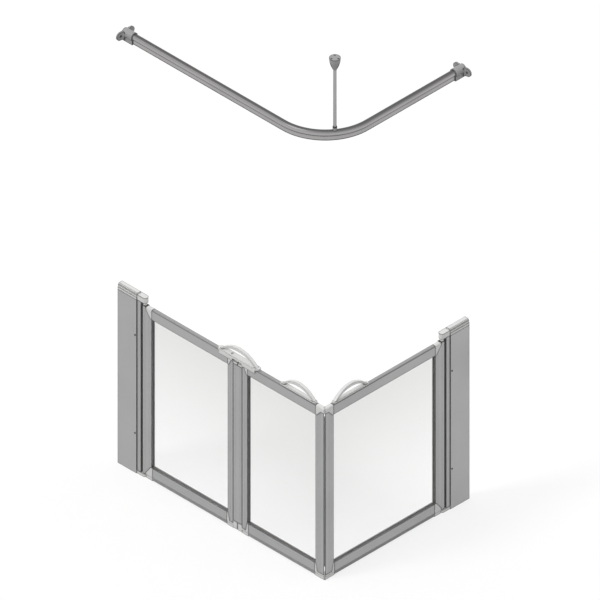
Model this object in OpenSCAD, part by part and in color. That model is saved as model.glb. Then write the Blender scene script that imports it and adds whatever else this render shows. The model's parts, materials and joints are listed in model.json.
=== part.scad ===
/* [Layout] */
// Length of the front run, from its wall to the outside of the corner
run_a = 1000; // [850:1:1400]
// Length of the side run, from its wall to the outside of the corner
run_b = 700; // [550:1:1100]
// Height of the curtain rail's centre above the tray
rail_z = 1781; // [1500:1:2200]
// Height of the ceiling above the curtain rail's centre
rod_run = 321; // [260:0.5:800]
// Distance that the curtain rail hangs inside the front run
rail_inset_a = 20; // [12:1:45]
// Distance that the curtain rail hangs inside the side run
rail_inset_b = 17; // [12:1:45]

/* [Wall channels] */
// Width of a wall channel, out from the wall
channel_w = 91; // [75:1:120]
// Depth of a wall channel, through the screen
channel_d = 28; // [27:1:36]
// Metal thickness of a wall channel
channel_wall = 2; // [1.5:0.1:2.5]
// Height of the cap on a wall channel
cap_h = 25; // [16:1:34]
// Setback of each of the two steps along a cap's sides
cap_step = 1.6; // [1:0.1:2]
// Bevel along the top edges of the cap
cap_edge = 3; // [1:0.5:5]
// Depth of the cap's plug inside the channel
cap_plug = 8; // [5:1:14]
// Radius of a wall fixing hole
fixing_r = 2.75; // [2:0.05:3.5]
// Height between two wall fixing holes
fixing_pitch = 290; // [200:1:300]

/* [Hinge posts] */
// Width of a hinge post that shows beside its channel
post_show = 18.6; // [14:0.2:36]
// Width of a hinge post that is hidden inside its channel
post_insert = 45; // [30:1:60]
// Play between a hinge post and the inside of its channel
post_play = 1; // [0.5:0.1:1.5]
// Metal thickness of a hinge post
post_wall = 2.4; // [1.6:0.1:3]
// Radius of a post screw's head
post_screw_r = 3.2; // [2.4:0.1:4.5]
// Height of a post screw's head
post_screw_h = 1.2; // [0.8:0.1:2]
// Distance from the end of the channel to a post screw
post_screw_in = 7; // [6:0.5:14]
// Distance from the top of the channel to the upper post screw
post_screw_end = 150; // [60:1:220]
// Distance from the foot of the channel to the lower post screw
post_screw_low = 166; // [60:1:220]

/* [Pivots] */
// Radius of a pivot pin
pin_r = 4; // [3:0.1:4.5]
// Depth of a pivot pin inside the leaf
pin_reach = 22; // [14:1:30]
// Radius of the pivot bore in a hinge stile
bush_r = 6; // [5.6:0.1:6.5]
// Radius of a bush's collar
collar_r = 6.8; // [6.6:0.1:8]
// Height of the top of the posts above the leaves
head_gap = 12; // [8:0.5:20]
// Height of the hinge head on top of a post
head_h = 21; // [17:1:26]
// Radius round the pivot of a hinge head or foot
head_r = 11.5; // [10:0.5:13]
// Height of the hinge foot under a post
foot_h = 12.6; // [9:0.2:14]

/* [Leaves] */
// Thickness of a leaf's frame
leaf_t = 18; // [16:0.5:20]
// Height of the top of the leaves above the tray
leaf_top = 714; // [640:1:720]
// Height of the underside of the leaves' frames above the tray
leaf_bottom = 14; // [13.4:0.1:20]
// Share of the folding door that the inner leaf takes
inner_share = 0.526; // [0.45:0.001:0.55]
// Width of the fold between the two leaves
fold_w = 43; // [36:0.5:56]
// Height of the top and bottom rails
rail_h = 40; // [34:1:48]
// Width of a hinge stile
hinge_stile_w = 49; // [47:1:60]
// Width of a fold stile
fold_stile_w = 26; // [24:1:40]
// Width of a meeting stile at the corner
meet_stile_w = 44; // [40:1:56]
// Radius of the frames' outer edges
edge_r = 5; // [2:0.5:6]
// Metal thickness of the frames
frame_wall = 2; // [1.4:0.1:2.4]
// Depth of the glazing groove
groove_d = 10; // [9:0.5:12]

/* [Glazing and seals] */
// Thickness of a clear panel
glass_t = 4; // [3:0.5:6]
// Depth of a clear panel inside its groove
glass_in = 8; // [5:0.5:8.5]
// Thickness of the gasket on each side of a panel
gasket_t = 1.5; // [1:0.1:2]
// Width of the gasket that shows round a panel
gasket_show = 1.5; // [1:0.1:4]
// Thickness of the carrier of a bottom seal
seal_t = 16; // [8:0.5:17]
// Height of the carrier of a bottom seal
seal_h = 10.5; // [5:0.5:11]
// Thickness of the blade of a bottom seal
blade_t = 2.4; // [1.6:0.1:3]
// Gap between the tray and a bottom seal
seal_gap = 1; // [0.5:0.1:2]
// Thickness of a magnet strip
magnet_t = 1.3; // [1:0.1:1.4]
// Width of a magnet strip
magnet_w = 12; // [8:0.5:15]

/* [Corner blocks] */
// Width of a top corner block's foot beside the clear panel
block_foot = 5; // [3:0.5:8]
// Height of the band that a top corner block makes over its stile
block_band = 18; // [16:0.5:20]
// Width of a hinge side corner block
block_hinge_w = 28; // [22:1:28]
// Height of the band that a bottom corner block makes under its stile
low_band = 8; // [4:0.5:12]
// Width of a bottom corner block that shows beside its stile
block_side = 4; // [2:0.5:6]
// Depth of a hinge head's plug inside its post
head_plug = 16; // [10:1:18]
// Length of a corner block's spigot inside a rail
spigot_l = 24; // [15:1:40]

/* [Fold] */
// Radius of a knuckle of the fold strip
knuckle_r = 4.5; // [4:0.1:4.6]
// Radius of a fold pin
fold_pin_r = 2.4; // [2:0.1:2.6]
// Height of an upper fold arm
arm_h = 10; // [6:0.5:12]
// Distance from the top of the leaves down to the upper fold arms
arm_drop = 13; // [12:0.5:15]
// Height that a lower fold arm reaches above the underside of the frames
arm_rise = 19; // [12:0.5:24]
// Height that a lower fold arm reaches below the underside of the frames
arm_fall = 10; // [6:0.5:11]

/* [Handles] */
// Length of a leaf handle
handle_l = 172; // [150:1:220]
// Distance from the corner's outside to a leaf handle
handle_in = 47; // [46:1:70]
// Thickness of a handle's base
handle_base = 6; // [4:0.5:8]
// Height of a handle's arch above its base
arch_h = 38; // [34:1:55]
// Depth of the band that makes a handle's arch
arch_band = 13; // [9:0.5:16]
// Width of a handle's arch, through the screen
arch_w = 14; // [10:0.5:16]
// Length of the opening under a handle's arch
arch_gap = 98; // [80:1:104]
// Length of the handle over the fold
fold_handle_l = 198; // [180:1:220]
// Width of the handle over the fold, through the screen
fold_handle_w = 25; // [24:0.5:28]
// Depth of the fold handle's skirt over the rails
skirt_h = 13; // [8:0.5:14]
// Height of the skirt that is left above the fold
skirt_bridge = 4; // [2:0.5:6]
// Distance from a handle's end to its screw
handle_screw_in = 20; // [14:0.5:24]
// Radius of a handle screw's shank
handle_screw_r = 2; // [1.5:0.1:2.4]

/* [Curtain rail] */
// Width of the curtain rail
track_w = 24; // [20:0.5:26]
// Height of the curtain rail
track_h = 38; // [35:0.5:44]
// Width of the rail's lower channel
track_neck = 17; // [14:0.5:19]
// Height of the rail's lower channel
neck_h = 21; // [14:0.5:22]
// Metal thickness of the curtain rail
track_wall = 1.8; // [1.2:0.1:2.2]
// Width of the slot along the underside of the rail
track_slot = 5; // [4:0.5:7]
// Radius of the rail's bend at its centre
bend_r = 200; // [120:1:300]
// Turn round the bend from the front run to the ceiling rod
rod_turn = 54.5; // [20:0.5:70]
// Radius of the ceiling rod
rod_r = 6; // [5:0.5:8]
// Radius of the ceiling flange's rim
flange_r = 20; // [19:0.5:26]
// Height of the ceiling flange
flange_h = 48; // [35:1:60]
// Radius of the circle of the flange's fixing holes
flange_pitch_r = 13.5; // [13:0.5:14]
// Thickness of a bracket's wall plate
plate_t = 6; // [4:0.5:8]
// Distance between a bracket's fixing holes
plate_pitch = 52; // [50:1:70]
// Radius of a lobe of a bracket's wall plate
plate_lobe_r = 16; // [12:0.5:18]
// Length of a bracket's socket
socket_l = 42; // [24:1:50]
// Thickness of a bracket's socket
socket_wall = 3.5; // [2.5:0.1:5]
// Radius of the flare between a bracket's socket and its plate
flare_r = 10; // [6:0.5:12]

/* [Hidden] */
$fn = 64;
// Overrun of every cut
cut = 1;
// Radial clearance of a running or seated fit
fit = 0.05;
// Clearance between flat faces that move past each other
slip = 0.4;
// Clearance of a spigot, panel or plug in its seat
seat = 0.3;
// Gap between a hinge post and the stile that turns beside it
stile_gap = 0.6;
// Gap from the corner's mitre plane to a meeting stile, which its magnet strip takes up
mitre_gap = 1.5;
// Gap between the ends of the two fold arms
arm_gap = 3;
// Height of the cross slot in a screw head
slot_w = 0.8;
// Radius and height of a handle screw's head
handle_head_r = 3.6;
handle_head_h = 2.4;
// Depth of the ceiling rod in its flange and in its saddle
rod_seat = 9;
// Thickness of the ceiling flange's rim over its screw pockets
rim_t = 5;
// Radius of a screw pocket in the ceiling flange, and of its hole
pocket_r = 4;
flange_hole_r = 2.2;
// Radius and height of the saddle and of its washer on the rail
saddle_r = 8;
saddle_h = 12;
washer_r = 7.4;
washer_h = 3;
// Radius and length of the grub screws that lock the rail
grub_r = 2.2;
grub_l = 3;
// Places of the wall fixing holes, counted from the middle one
fixing_steps = [-1, 0, 1];
// Heights of the two steps along a cap, as shares of its height
cap_shares = [0.36, 0.7];
// Turn of the ceiling flange's holes about the rod
flange_turn = 15;
// Radius of the seat of a screw head in a bracket
plate_seat_r = 5;
// Thickness that a bracket's flare ends with
flare_lip = 1.5;
// Steps along a curved outline
curve_steps = 24;

// Height of a wall channel, which follows the leaves
channel_h = leaf_top + head_gap;
// Centre planes of the two runs and of the pivots
corner_a = run_a - channel_d / 2;
corner_b = run_b - channel_d / 2;
pivot_u = channel_w + post_show + stile_gap + leaf_t / 2;
half_t = leaf_t / 2;
// Edges of the leaves along their run
hinge_edge = pivot_u - half_t;
outer_end = corner_a + half_t;
inner_end = hinge_edge + inner_share * (outer_end - hinge_edge - fold_w);
outer_start = inner_end + fold_w;
side_end = corner_b + half_t;
// Places of the two fold pins
knuckle_v = half_t - knuckle_r;
fold_u1 = inner_end + slip + knuckle_r;
fold_u2 = outer_start - slip - knuckle_r;
fold_mid = (inner_end + outer_start) / 2;
// Edges of the clear openings
opening_low = leaf_bottom + rail_h;
opening_high = leaf_top - rail_h;
groove_w = glass_t + 2 * gasket_t;
seal_low = seal_gap;
post_d = channel_d - 2 * channel_wall - 2 * post_play;
// Lines of the curtain rail
track_a = rail_inset_a;
track_b = corner_a - rail_inset_b;
bend_x = track_b - bend_r;
bend_y = track_a + bend_r;
track_r = track_w / 2;
rod_x = bend_x + bend_r * sin(rod_turn);
rod_y = bend_y - bend_r * cos(rod_turn);
rail_top = rail_z + track_h / 2;
ceiling_z = rail_z + rod_run;
saddle_top = rail_top + saddle_h;
// Inner edges of the stiles, where the rails and the clear panels begin and end
hinge_inner = hinge_edge + hinge_stile_w;
inner_fold_inner = inner_end - fold_stile_w;
outer_fold_inner = outer_start + fold_stile_w;
outer_meet_inner = outer_end - meet_stile_w;
side_meet_inner = side_end - meet_stile_w;
// Middles of the leaf handles, and places of all handle screws
outer_handle_u = outer_end - handle_in - handle_l / 2;
side_handle_u = side_end - handle_in - handle_l / 2;
handle_screw_u = handle_l / 2 - handle_screw_in;
outer_screws = [outer_handle_u - handle_screw_u, outer_handle_u + handle_screw_u];
side_screws = [side_handle_u - handle_screw_u, side_handle_u + handle_screw_u];
fold_screws = [fold_mid - fold_handle_l / 2 + handle_screw_in, inner_end - fold_stile_w / 2];

// Sets a piece drawn from the tray into the frame of the first wall fixing
module front_run() {
  translate([0, 0, -channel_h / 2]) children();
}

// Turns a piece drawn along the front run into its twin on the side run
module side_run() {
  translate([corner_a, corner_b, -channel_h / 2]) mirror([1, 1, 0]) children();
}

// A box between two opposite corners
module span(low, high) {
  translate(low) cube(high - low);
}

// Extrudes a section drawn across the run along it, from u0 to u1
module along_run(u0, u1) {
  translate([u0, 0, 0]) rotate([90, 0, 90]) linear_extrude(u1 - u0) children();
}

// Extrudes an elevation drawn along the run through a thickness
module through(thickness) {
  translate([0, thickness / 2, 0]) rotate([90, 0, 0]) linear_extrude(thickness) children();
}

// Wall channel: a deep U that is screwed to the wall and open towards the leaves
module wall_channel() {
  color("darkgray") difference() {
    span([0, -channel_d / 2, 0], [channel_w, channel_d / 2, channel_h]);
    span([channel_wall, channel_wall - channel_d / 2, -cut],
         [channel_w + cut, channel_d / 2 - channel_wall, channel_h + cut]);
    for (step = fixing_steps)
      translate([-cut, 0, channel_h / 2 + step * fixing_pitch])
        rotate([0, 90, 0]) cylinder(h = channel_wall + 2 * cut, r = fixing_r);
    for (z = [post_screw_low, channel_h - post_screw_end])
      translate([channel_w - post_screw_in, 0, z]) rotate([90, 0, 0])
        cylinder(h = channel_d, r = post_screw_r / 2 + fit);
  }
}

module cap_section() {
  half = channel_d / 2;
  top_half = half - 2 * cap_step;
  low = cap_h * cap_shares[0];
  high = cap_h * cap_shares[1];
  side = [[half, 0], [half, low], [half - cap_step, low + cap_step], [half - cap_step, high],
          [top_half, high + cap_step], [top_half, cap_h - cap_edge], [top_half - cap_edge, cap_h]];
  polygon(concat(side, [for (i = [len(side) - 1 : -1 : 0]) [-side[i][0], side[i][1]]]));
}

// Channel cap: rounded along the top, with a plug behind the hinge post
module channel_cap() {
  inside = channel_d / 2 - channel_wall - seat;
  color("whitesmoke") union() {
    translate([0, 0, channel_h]) along_run(0, channel_w) cap_section();
    span([channel_wall + seat, -inside, channel_h - cap_plug],
         [channel_w - post_insert - seat, inside, channel_h + channel_wall]);
  }
}

// Hinge post: a box section that slides in the channel and carries the pivots
module hinge_post() {
  low_u = channel_w - post_insert;
  high_u = channel_w + post_show;
  color("darkgray") difference() {
    span([low_u, -post_d / 2, foot_h], [high_u, post_d / 2, channel_h]);
    span([low_u + post_wall, post_wall - post_d / 2, -cut],
         [high_u - post_wall, post_d / 2 - post_wall, channel_h + cut]);
    for (z = [post_screw_low, channel_h - post_screw_end])
      translate([channel_w - post_screw_in, 0, z]) rotate([90, 0, 0])
        cylinder(h = channel_d, r = post_screw_r / 2 + fit);
  }
}

// Screws through channel and post, heads on the outside face
module post_screw_pair() {
  for (z = [post_screw_low, channel_h - post_screw_end])
    translate([channel_w - post_screw_in, -channel_d / 2, z]) rotate([90, 0, 0])
      cross_screw(post_screw_r, post_screw_h, post_screw_r / 2,
                  channel_wall + post_play + post_wall);
}

// An arm from a post to its pivot, with a round end
module pivot_arm(low_z, high_z) {
  span([channel_w + seat, -head_r, low_z], [pivot_u, head_r, high_z]);
  translate([pivot_u, 0, low_z]) cylinder(h = high_z - low_z, r = head_r);
}

// Hinge head: sits on the post and holds the upper pin
module hinge_head() {
  inside = post_d / 2 - post_wall - seat;
  color("whitesmoke") difference() {
    union() {
      pivot_arm(channel_h, channel_h + head_h);
      span([channel_w + seat, -inside, channel_h - head_plug],
           [channel_w + post_show - post_wall - seat, inside, channel_h + fit]);
    }
    translate([pivot_u, 0, channel_h - cut])
      cylinder(h = head_h / 2 + cut, r = pin_r + fit);
  }
}

// Hinge foot: stands on the tray under the post and holds the lower pin
module hinge_foot() {
  inside = post_d / 2 - post_wall - seat;
  color("whitesmoke") difference() {
    union() {
      pivot_arm(0, foot_h);
      span([channel_w + seat, -inside, foot_h - fit],
           [channel_w + post_show - post_wall - seat, inside, foot_h + head_plug]);
    }
    translate([pivot_u, 0, foot_h / 2]) cylinder(h = foot_h, r = pin_r + fit);
  }
}

// Upper and lower pivot pins of one hinge line
module pin_pair() {
  translate([pivot_u, 0, leaf_top - pin_reach])
    cylinder(h = channel_h + head_h / 2 - leaf_top + pin_reach, r = pin_r);
  translate([pivot_u, 0, foot_h / 2])
    cylinder(h = leaf_bottom + pin_reach - foot_h / 2, r = pin_r);
}

// Bushes of one hinge line: a collar between leaf and arm, and a sleeve in the stile
module bush_pair() {
  color("white") difference() {
    union() {
      translate([pivot_u, 0, leaf_top]) cylinder(h = channel_h - leaf_top - seat, r = collar_r);
      translate([pivot_u, 0, leaf_top - pin_reach - cut])
        cylinder(h = pin_reach + 2 * cut, r = bush_r - fit);
      translate([pivot_u, 0, foot_h + seat])
        cylinder(h = leaf_bottom - foot_h - seat, r = collar_r);
      translate([pivot_u, 0, leaf_bottom - cut / 2])
        cylinder(h = pin_reach + cut, r = bush_r - fit);
    }
    translate([pivot_u, 0, 0]) cylinder(h = channel_h + cut, r = pin_r + fit);
  }
}

// Section of a hinge stile, round on the pivot, drawn about the pivot
module hinge_stile_section() {
  inner = hinge_stile_w - half_t;
  room_u = bush_r + frame_wall;
  difference() {
    union() {
      circle(r = half_t);
      translate([0, -half_t]) square([inner, leaf_t]);
    }
    circle(r = bush_r);
    translate([room_u, frame_wall - half_t])
      square([inner - groove_d - frame_wall - room_u, leaf_t - 2 * frame_wall]);
    translate([inner - groove_d, -groove_w / 2]) square([groove_d + cut, groove_w]);
  }
}

// Section of a square stile, drawn from its glazed edge outwards
module fold_stile_section() {
  room_u = groove_d + frame_wall;
  difference() {
    translate([0, -half_t]) square([fold_stile_w, leaf_t]);
    translate([room_u, frame_wall - half_t])
      square([fold_stile_w - frame_wall - room_u, leaf_t - 2 * frame_wall]);
    translate([-cut, -groove_w / 2]) square([groove_d + cut, groove_w]);
  }
}

// Takes off what lies past the corner's mitre, for a piece that ends at end_u
module mitre_cut(end_u, gap) {
  translate([end_u, -half_t]) rotate(45) translate([-gap, -2 * leaf_t])
    square([4 * leaf_t, 6 * leaf_t]);
}

// Section of a meeting stile, with a rounded outer edge and a mitred end
module meet_stile_section() {
  room_u = groove_d + frame_wall;
  difference() {
    meet_outline(mitre_gap);
    translate([room_u, frame_wall - half_t])
      square([meet_stile_w - leaf_t - 2 * frame_wall - room_u, leaf_t - 2 * frame_wall]);
    translate([-cut, -groove_w / 2]) square([groove_d + cut, groove_w]);
  }
}

// Solid outline of a meeting stile, which its corner blocks share
module meet_outline(gap) {
  difference() {
    union() {
      translate([0, -half_t]) square([meet_stile_w - edge_r, leaf_t]);
      translate([meet_stile_w - edge_r, edge_r - half_t]) circle(r = edge_r);
    }
    mitre_cut(meet_stile_w, gap);
  }
}

// Solid section of a rail, from its glazed edge up to its outer edge
module rail_outline(round_r) {
  reach = half_t - round_r;
  translate([-half_t, 0]) square([leaf_t, rail_h - round_r]);
  translate([-reach, 0]) square([2 * reach, rail_h]);
  for (side = [-1, 1]) translate([side * reach, rail_h - round_r]) circle(r = round_r);
}

module rail_section(round_r) {
  room = groove_d + frame_wall;
  difference() {
    rail_outline(round_r);
    translate([-groove_w / 2, -cut]) square([groove_w, groove_d + cut]);
    translate([-rail_room(round_r), room])
      square([2 * rail_room(round_r), rail_h - frame_wall - room]);
  }
}

module top_rail(u0, u1, screws) {
  color("darkgray") difference() {
    translate([0, 0, opening_high]) along_run(u0, u1) rail_section(edge_r);
    screw_holes(screws);
  }
}

module bottom_rail(u0, u1) {
  color("darkgray") translate([0, 0, opening_low]) along_run(u0, u1)
    mirror([0, 1]) rail_section(frame_wall / 2);
}

// Elevations of the corner blocks, drawn outwards from the glazed edge of the stile
module top_block(stile_w) {
  polygon([[0, 0], [0, rail_h], [stile_w, rail_h], [stile_w, rail_h - block_band],
           [(stile_w + block_foot) / 2, rail_h - block_band], [block_foot, 0]]);
}

module top_hinge_block() {
  polygon([[0, 0], [0, rail_h], [block_hinge_w, rail_h],
           [block_hinge_w, rail_h - block_band / 2], [block_foot, 0]]);
}

module bottom_block(stile_w) {
  polygon([[-block_side, 0], [-block_side, rail_h], [block_side / 2, rail_h],
           [block_side * 3 / 2, rail_h / 2], [2 * block_side, low_band],
           [stile_w, low_band], [stile_w, 0]]);
}

module bottom_hinge_block() {
  polygon([[-block_side, 0], [-block_side, rail_h], [block_foot, rail_h],
           [block_hinge_w, low_band], [block_hinge_w, 0]]);
}

// The lower skirt of a bottom corner block, thinner than the frame
module block_skirt(u0, u1) {
  span([u0, -seal_t / 2 - fit, seal_low], [u1, seal_t / 2 + fit, leaf_bottom]);
}

// Half width of the room inside a rail whose outer edges have this radius
function rail_room(round_r) = half_t - frame_wall - round_r / 2;

// A spigot from a corner block into the rail beside it, between two heights
module spigot(u, direction, half, low_z, high_z) {
  reach = direction * spigot_l;
  span([min(u, u + reach), -half, low_z], [max(u, u + reach), half, high_z]);
}

module top_spigot(u, direction) {
  spigot(u, direction, rail_room(edge_r) - seat, opening_high + groove_d + frame_wall + seat,
         leaf_top - frame_wall - seat);
}

module low_spigot(u, direction) {
  spigot(u, direction, rail_room(frame_wall / 2) - seat, leaf_bottom + frame_wall + seat,
         opening_low - groove_d - frame_wall - seat);
}

// The groove that the clear panel and its gasket fill inside a corner block
module block_groove(edge, direction, low, high) {
  reach = direction * groove_d;
  side = direction * spigot_l;
  span([min(edge - side, edge + reach), -groove_w / 2, low],
       [max(edge - side, edge + reach), groove_w / 2, high]);
}

// A fold arm of a corner block: it reaches from its leaf to the middle of the fold, with
// a bore for the fold pin and a root inside the block's own band
module fold_arm(pin_u, end_u, side, heights, root_heights) {
  tip_u = fold_mid - side * arm_gap / 2;
  root_half = half_t - frame_wall;
  difference() {
    union() {
      span([min(end_u, tip_u), -half_t, heights[0]], [max(end_u, tip_u), half_t, heights[1]]);
      span([end_u - frame_wall, -root_half, root_heights[0]],
           [end_u + frame_wall, root_half, root_heights[1]]);
    }
    translate([pin_u, knuckle_v, heights[0] - cut])
      cylinder(h = heights[1] - heights[0] + 2 * cut, r = fold_pin_r + fit);
  }
}

// Holes for handle screws along the top of a leaf
module screw_holes(places) {
  for (u = places) translate([u, 0, leaf_top - frame_wall - cut])
    cylinder(h = frame_wall + 2 * cut, r = handle_screw_r + fit);
}

// Hinge stile of a leaf, cut away for its two corner blocks
module hinge_stile() {
  inner = hinge_edge + hinge_stile_w;
  color("darkgray") difference() {
    translate([pivot_u, 0, leaf_bottom]) linear_extrude(leaf_top - leaf_bottom)
      hinge_stile_section();
    translate([inner, 0, opening_high]) mirror([1, 0, 0]) through(channel_d) top_hinge_block();
    translate([inner, 0, leaf_bottom]) mirror([1, 0, 0]) through(channel_d)
      bottom_hinge_block();
  }
}

module top_hinge_corner() {
  inner = hinge_edge + hinge_stile_w;
  color("whitesmoke") union() {
    difference() {
      intersection() {
        translate([inner, 0, opening_high]) mirror([1, 0, 0]) through(channel_d)
          top_hinge_block();
        translate([0, 0, opening_high]) along_run(hinge_edge, inner) rail_outline(edge_r);
      }
      block_groove(inner, -1, opening_high - cut, opening_high + groove_d);
    }
    top_spigot(inner, 1);
  }
}

module bottom_hinge_corner() {
  inner = hinge_edge + hinge_stile_w;
  color("whitesmoke") union() {
    difference() {
      union() {
        translate([inner, 0, leaf_bottom]) mirror([1, 0, 0]) through(leaf_t)
          bottom_hinge_block();
        block_skirt(pivot_u + head_r + frame_wall, inner + block_side);
      }
      block_groove(inner, -1, opening_low - groove_d, opening_low + cut);
    }
    low_spigot(inner + block_side, 1);
  }
}

// Fold stile of a leaf: end_u is its outer edge, side is 1 where that edge faces +u
module fold_stile(end_u, side) {
  color("darkgray") difference() {
    translate([end_u - side * fold_stile_w, 0, leaf_bottom]) mirror([(1 - side) / 2, 0, 0])
      linear_extrude(leaf_top - leaf_bottom) fold_stile_section();
    translate([end_u - side * fold_stile_w, 0, opening_high]) mirror([(1 - side) / 2, 0, 0])
      through(channel_d) top_block(fold_stile_w);
    translate([end_u - side * fold_stile_w, 0, leaf_bottom]) mirror([(1 - side) / 2, 0, 0])
      through(channel_d) bottom_block(fold_stile_w);
  }
}

module top_fold_corner(end_u, side, pin_u) {
  inner = end_u - side * fold_stile_w;
  union() {
    difference() {
      intersection() {
        translate([inner, 0, opening_high]) mirror([(1 - side) / 2, 0, 0]) through(channel_d)
          top_block(fold_stile_w);
        translate([0, 0, opening_high]) along_run(min(inner, end_u), max(inner, end_u))
          rail_outline(edge_r);
      }
      block_groove(inner, side, opening_high - cut, opening_high + groove_d);
    }
    top_spigot(inner, -side);
    fold_arm(pin_u, end_u, side, [leaf_top - arm_drop - arm_h, leaf_top - arm_drop],
             [leaf_top - block_band, leaf_top - arm_drop]);
  }
}

// Bottom corner block: side is 1 where the stile's outer edge, end_u, faces +u
module bottom_corner(inner, end_u, side) {
  foot_u = inner - side * block_side;
  difference() {
    union() {
      translate([inner, 0, leaf_bottom]) mirror([(1 - side) / 2, 0, 0]) through(leaf_t)
        bottom_block(abs(end_u - inner));
      block_skirt(min(foot_u, end_u), max(foot_u, end_u));
    }
    block_groove(inner, side, opening_low - groove_d, opening_low + cut);
  }
  low_spigot(foot_u, -side);
}

module bottom_fold_corner(end_u, side, pin_u) {
  color("whitesmoke") union() {
    bottom_corner(end_u - side * fold_stile_w, end_u, side);
    fold_arm(pin_u, end_u, side, [leaf_bottom - arm_fall, leaf_bottom + arm_rise],
             [leaf_bottom, leaf_bottom + low_band]);
  }
}

// Meeting stile: end_u is the outside of the corner
module meet_stile(end_u) {
  inner = end_u - meet_stile_w;
  color("darkgray") difference() {
    translate([inner, 0, leaf_bottom]) linear_extrude(leaf_top - leaf_bottom)
      meet_stile_section();
    translate([inner, 0, opening_high]) through(channel_d) top_block(meet_stile_w);
    translate([inner, 0, leaf_bottom]) through(channel_d) bottom_block(meet_stile_w);
  }
}

module top_meet_corner(end_u) {
  inner = end_u - meet_stile_w;
  color("whitesmoke") union() {
    difference() {
      intersection() {
        translate([inner, 0, opening_high]) through(channel_d) top_block(meet_stile_w);
        translate([0, 0, opening_high]) along_run(inner, end_u) rail_outline(edge_r);
        translate([inner, 0, opening_high]) linear_extrude(rail_h) meet_outline(slip);
      }
      block_groove(inner, 1, opening_high - cut, opening_high + groove_d);
    }
    top_spigot(inner, -1);
  }
}

module bottom_meet_corner(end_u) {
  color("whitesmoke") difference() {
    bottom_corner(end_u - meet_stile_w, end_u, 1);
    translate([end_u - meet_stile_w, 0, 0]) linear_extrude(leaf_bottom + low_band + cut)
      mitre_cut(meet_stile_w, slip);
  }
}

// Clear panel between two glazed edges
module panel(u0, u1) {
  color([0.85, 0.92, 0.92, 0.4])
    span([u0 - glass_in, -glass_t / 2, opening_low - glass_in],
         [u1 + glass_in, glass_t / 2, opening_high + glass_in]);
}

// Gasket: a frame of channel section round the clear panel
module gasket(u0, u1) {
  deep = groove_w / 2 - fit;
  color("dimgray") difference() {
    span([u0 - groove_d + seat, -deep, opening_low - groove_d + seat],
         [u1 + groove_d - seat, deep, opening_high + groove_d - seat]);
    span([u0 + gasket_show, -leaf_t, opening_low + gasket_show],
         [u1 - gasket_show, leaf_t, opening_high - gasket_show]);
    span([u0 - glass_in, -glass_t / 2, opening_low - glass_in],
         [u1 + glass_in, glass_t / 2, opening_high + glass_in]);
  }
}

// Bottom seal: a carrier under the rail and a blade down to the tray
module bottom_seal(u0, u1) {
  color("gainsboro") union() {
    span([u0, -seal_t / 2, leaf_bottom - seal_h], [u1, seal_t / 2, leaf_bottom]);
    span([u0, -blade_t / 2, seal_low], [u1, blade_t / 2, leaf_bottom - seal_h + fit]);
  }
}

// Magnet strip on the mitred face of a meeting stile
module magnet_strip(end_u) {
  color("gray") translate([end_u, -half_t, opening_low]) rotate([0, 0, 45])
    translate([-mitre_gap, (leaf_t * sqrt(2) - magnet_w) / 2 + mitre_gap, 0])
      cube([magnet_t, magnet_w, opening_high - opening_low]);
}

// Height of a handle's outer line above its base, at a share of its half length
function arch_rise(share) = arch_h * (1 - share * share);

// Side outline of a handle's arch, with its opening left out
module arch_outline(half_l) {
  inner_h = arch_h - arch_band;
  outer = [for (i = [0 : curve_steps])
    let (share = 2 * i / curve_steps - 1)
    [share * half_l, handle_base + arch_rise(share)]];
  inner = [for (i = [0 : curve_steps])
    let (turn = 180 * i / curve_steps)
    [cos(turn) * arch_gap / 2, handle_base + inner_h * sin(turn)]];
  difference() {
    union() {
      polygon(outer);
      translate([-half_l, 0]) square([2 * half_l, handle_base + fit]);
    }
    polygon(inner);
  }
}

// A handle about its middle: a base with round ends and an arched grip
module handle_body(length, width) {
  round_r = width / 2;
  half_l = length / 2 - round_r;
  union() {
    span([-half_l, -round_r, 0], [half_l, round_r, handle_base]);
    for (side = [-1, 1]) translate([side * half_l, 0, 0])
      cylinder(h = handle_base, r = round_r);
    through(arch_w) arch_outline(half_l);
  }
}

// Pocket for a handle screw, with room above its head
module screw_pocket(u, room) {
  translate([u, 0, leaf_top - cut])
    cylinder(h = handle_base + cut, r = handle_screw_r + fit);
  translate([u, 0, leaf_top + handle_base - handle_head_h])
    cylinder(h = handle_head_h + room, r = handle_head_r + fit);
}

// A screw head with a cross slot, on a shank
module cross_screw(head_r, head_h, shank_r, shank_l) {
  difference() {
    union() {
      cylinder(h = head_h, r = head_r);
      translate([0, 0, -shank_l]) cylinder(h = shank_l + fit, r = shank_r);
    }
    translate([-head_r, -slot_w / 2, head_h / 2]) cube([2 * head_r, slot_w, head_h]);
    translate([-slot_w / 2, -head_r, head_h / 2]) cube([slot_w, 2 * head_r, head_h]);
  }
}

// Handle screws at these places along a leaf
module handle_screws(places) {
  color("silver") for (u = places)
    translate([u, 0, leaf_top + handle_base - handle_head_h])
      cross_screw(handle_head_r, handle_head_h, handle_screw_r,
                  handle_base - handle_head_h + frame_wall);
}

// Leaf handle about its middle
module leaf_handle(middle, screws) {
  color("whitesmoke") difference() {
    translate([middle, 0, leaf_top]) handle_body(handle_l, leaf_t);
    for (u = screws) screw_pocket(u, arch_h);
  }
}

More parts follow.
